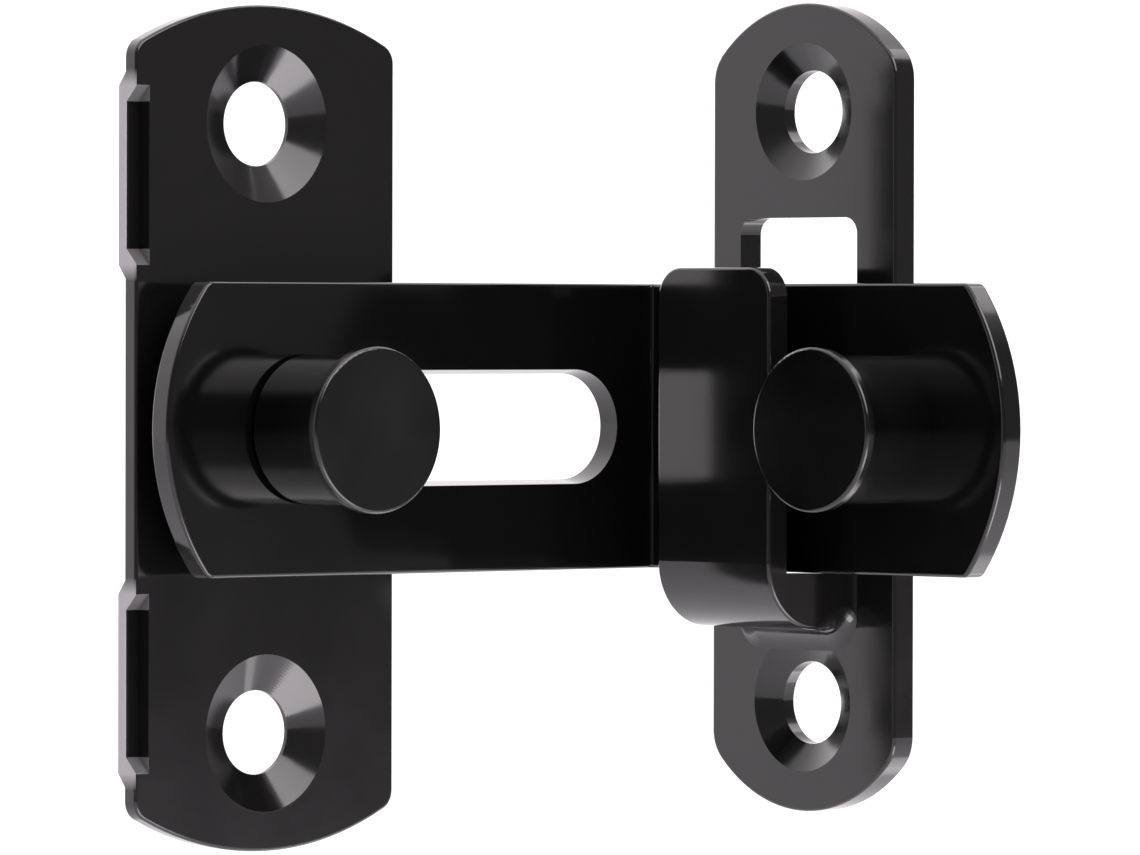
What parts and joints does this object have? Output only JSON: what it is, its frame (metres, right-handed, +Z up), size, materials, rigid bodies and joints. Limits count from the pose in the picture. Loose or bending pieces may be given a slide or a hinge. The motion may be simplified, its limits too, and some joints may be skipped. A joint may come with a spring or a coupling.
{
  "type": "right-angle flip latch",
  "caption": "Right-angle door latch: a slotted L-shaped bar flips and slides on a base plate and drops behind the hook of a keeper plate.",
  "frame": {"origin": "on the pivot post's axis at the base plate's mounting surface, midway between its two screw holes", "axes": "-Y is the way the base plate faces, -X is the way the keeper plate faces, +Z is up; the slotted leg of the bar runs along +X and the hooked leg along -Y"},
  "size_m": [0.0433, 0.0354, 0.0506],
  "materials": {
    "black_plate": "glossy black coated steel",
    "black_bar": "glossy black coated steel",
    "black_knob": "glossy black coated steel, turned",
    "washer": "black coated steel"
  },
  "bodies": {
    "base": {"base_plate": "black_plate", "pivot_post": "black_knob"},
    "washer": {"spacer_washer": "washer"},
    "bar": {"slide_bar": "black_bar", "handle_knob": "black_knob"},
    "keeper": {"keeper_plate": "black_plate"}
  },
  "joints": [
    {"name": "bar_lift", "type": "hinge", "parent": "base", "child": "washer", "pos_m": [0, 0, 0], "axis": [0, -1, 0], "range_deg": [0, 180]},
    {"name": "bar_slide", "type": "slide", "parent": "washer", "child": "bar", "axis": [-1, 0, 0], "range_m": [0, 0.0186]},
    {"name": "keeper_shift", "type": "slide", "parent": "base", "child": "keeper", "axis": [-1, 0, 0], "range_m": [0, 0.0186]}
  ],
  "couplings": [
    {"joint": "keeper_shift", "follows": "bar_slide", "ratio": 1}
  ]
}
